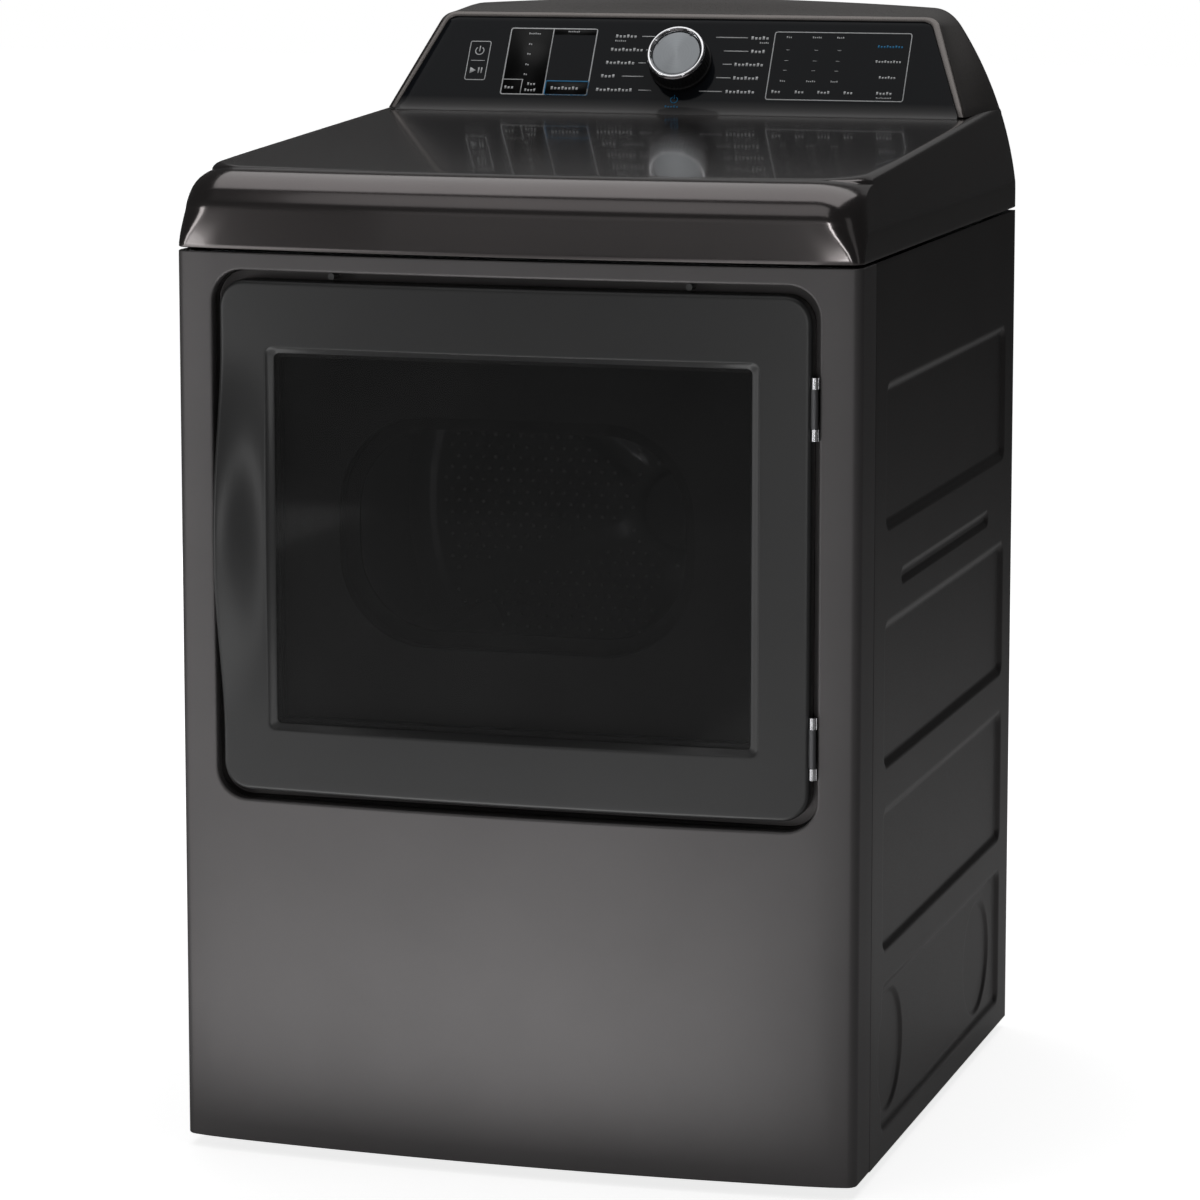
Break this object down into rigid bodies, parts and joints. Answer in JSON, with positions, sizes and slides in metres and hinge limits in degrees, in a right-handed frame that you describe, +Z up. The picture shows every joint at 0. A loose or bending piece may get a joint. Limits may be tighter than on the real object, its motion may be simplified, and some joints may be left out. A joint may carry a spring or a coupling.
{
  "type": "clothes dryer",
  "caption": "Free-standing tumble dryer with a bowed front, a side-hinged glass door with a pull lip, a turning drum and a slanted glass console with one knob.",
  "frame": {"origin": "floor, under the centre of the overall box", "axes": "+X to the right seen from the front, +Y from the front to the back, +Z up"},
  "size_m": [0.686, 0.766, 1.1187],
  "materials": {
    "galvanised": "satin",
    "side_paint": "satin",
    "front_paint": "metallic satin",
    "lid_paint": "gloss",
    "console_trim": "metallic satin",
    "console_glass": "gloss",
    "black_plastic": "matte",
    "circuit_board": "matte",
    "plated_steel": "bright zinc",
    "felt": "felt",
    "cast_part": "cast",
    "pale_plastic": "matte",
    "motor_paint": "matte",
    "belt_rubber": "matte",
    "lamp_glass": "frosted",
    "bumper_plastic": "satin",
    "door_frame": "satin",
    "door_glass": "gloss",
    "grey_plastic": "matte",
    "clear_glass": "gloss",
    "gasket_rubber": "matte",
    "hinge_grey": "satin",
    "drum_steel": "satin",
    "knob_chrome": "bright",
    "knob_brushed": "spun",
    "mesh_screen": "woven mesh",
    "foot_rubber": "matte"
  },
  "bodies": {
    "cabinet": {"base_pan": "galvanised", "side_panel_left": "side_paint", "side_panel_right": "side_paint", "rear_panel": "galvanised", "front_panel": "front_paint", "top_panel": "lid_paint", "console_housing": "console_trim", "console_glass": "console_glass", "console_rear_cover": "black_plastic", "control_board": "circuit_board", "knob_encoder": "plated_steel", "front_bulkhead": "galvanised", "drum_front_seal": "felt", "rear_bulkhead": "galvanised", "rear_bearing": "cast_part", "rear_air_duct": "galvanised", "lint_duct": "pale_plastic", "blower_housing": "pale_plastic", "exhaust_duct": "galvanised", "heater_housing": "galvanised", "motor_body": "motor_paint", "motor_bracket": "plated_steel", "drive_belt": "belt_rubber", "door_switch_body": "pale_plastic", "door_catch": "black_plastic", "hinge_leaves_cabinet": "plated_steel", "hinge_pins": "plated_steel", "terminal_block": "black_plastic", "terminal_cover": "galvanised", "drum_lamp": "lamp_glass", "cabinet_screws": "plated_steel", "door_bumpers": "bumper_plastic"},
    "door": {"door_frame": "door_frame", "door_glass": "door_glass", "door_inner_panel": "grey_plastic", "door_inner_glass": "clear_glass", "door_gasket": "gasket_rubber", "door_strike": "plated_steel", "hinge_leaves_door": "hinge_grey", "door_screws": "plated_steel"},
    "drum": {"drum_shell": "drum_steel", "drum_rear_wall": "drum_steel", "drum_baffles": "grey_plastic", "drum_shaft": "cast_part"},
    "motor_rotor": {"motor_shaft": "plated_steel", "motor_pulley": "cast_part", "blower_wheel": "black_plastic"},
    "idler_arm": {"idler_arm": "plated_steel"},
    "idler_pulley": {"idler_pulley": "pale_plastic"},
    "knob": {"knob_body": "black_plastic", "knob_ring": "knob_chrome", "knob_cap": "knob_brushed"},
    "lint_filter": {"lint_filter": "pale_plastic", "lint_screen": "mesh_screen"},
    "door_switch_plunger": {"door_switch_plunger": "pale_plastic"},
    "foot_front_left": {"foot_front_left": "foot_rubber"},
    "foot_front_right": {"foot_front_right": "foot_rubber"},
    "foot_rear_left": {"foot_rear_left": "foot_rubber"},
    "foot_rear_right": {"foot_rear_right": "foot_rubber"}
  },
  "joints": [
    {"name": "door_hinge", "type": "hinge", "parent": "cabinet", "child": "door", "pos_m": [0.30025, -0.3575, 0.6], "axis": [0, 0, 1], "range_deg": [0, 150]},
    {"name": "drum_spin", "type": "hinge", "parent": "cabinet", "child": "drum", "pos_m": [0, 0, 0.57], "axis": [0, 1, 0], "continuous": true},
    {"name": "rotor_spin", "type": "hinge", "parent": "cabinet", "child": "motor_rotor", "pos_m": [0.06, 0, 0.15], "axis": [0, 1, 0], "continuous": true},
    {"name": "idler_swing", "type": "hinge", "parent": "cabinet", "child": "idler_arm", "pos_m": [0.096, 0.047, 0.112], "axis": [0, 1, 0], "range_deg": [0, 12], "stiffness_Nm_per_rad": 2, "springref_deg": -17.19},
    {"name": "idler_spin", "type": "hinge", "parent": "idler_arm", "child": "idler_pulley", "pos_m": [0.13621, 0.06, 0.19181], "axis": [0, 1, 0], "continuous": true},
    {"name": "knob_turn", "type": "hinge", "parent": "cabinet", "child": "knob", "pos_m": [0.001, 0.2405, 1.05312], "axis": [0, -0.8462, 0.5329], "continuous": true},
    {"name": "filter_lift", "type": "slide", "parent": "cabinet", "child": "lint_filter", "axis": [0, 0, 1], "range_m": [0, 0.232]},
    {"name": "switch_travel", "type": "slide", "parent": "cabinet", "child": "door_switch_plunger", "axis": [0, -1, 0], "range_m": [0, 0.005]},
    {"name": "level_front_left", "type": "slide", "parent": "cabinet", "child": "foot_front_left", "axis": [0, 0, -1], "range_m": [0, 0.02]},
    {"name": "level_front_right", "type": "slide", "parent": "cabinet", "child": "foot_front_right", "axis": [0, 0, -1], "range_m": [0, 0.02]},
    {"name": "level_rear_left", "type": "slide", "parent": "cabinet", "child": "foot_rear_left", "axis": [0, 0, -1], "range_m": [0, 0.02]},
    {"name": "level_rear_right", "type": "slide", "parent": "cabinet", "child": "foot_rear_right", "axis": [0, 0, -1], "range_m": [0, 0.02]}
  ],
  "couplings": [
    {"joint": "rotor_spin", "follows": "drum_spin", "ratio": 35.111},
    {"joint": "idler_spin", "follows": "drum_spin", "ratio": -14.364},
    {"joint": "switch_travel", "follows": "door_hinge", "m_per_rad": 0.001908}
  ]
}
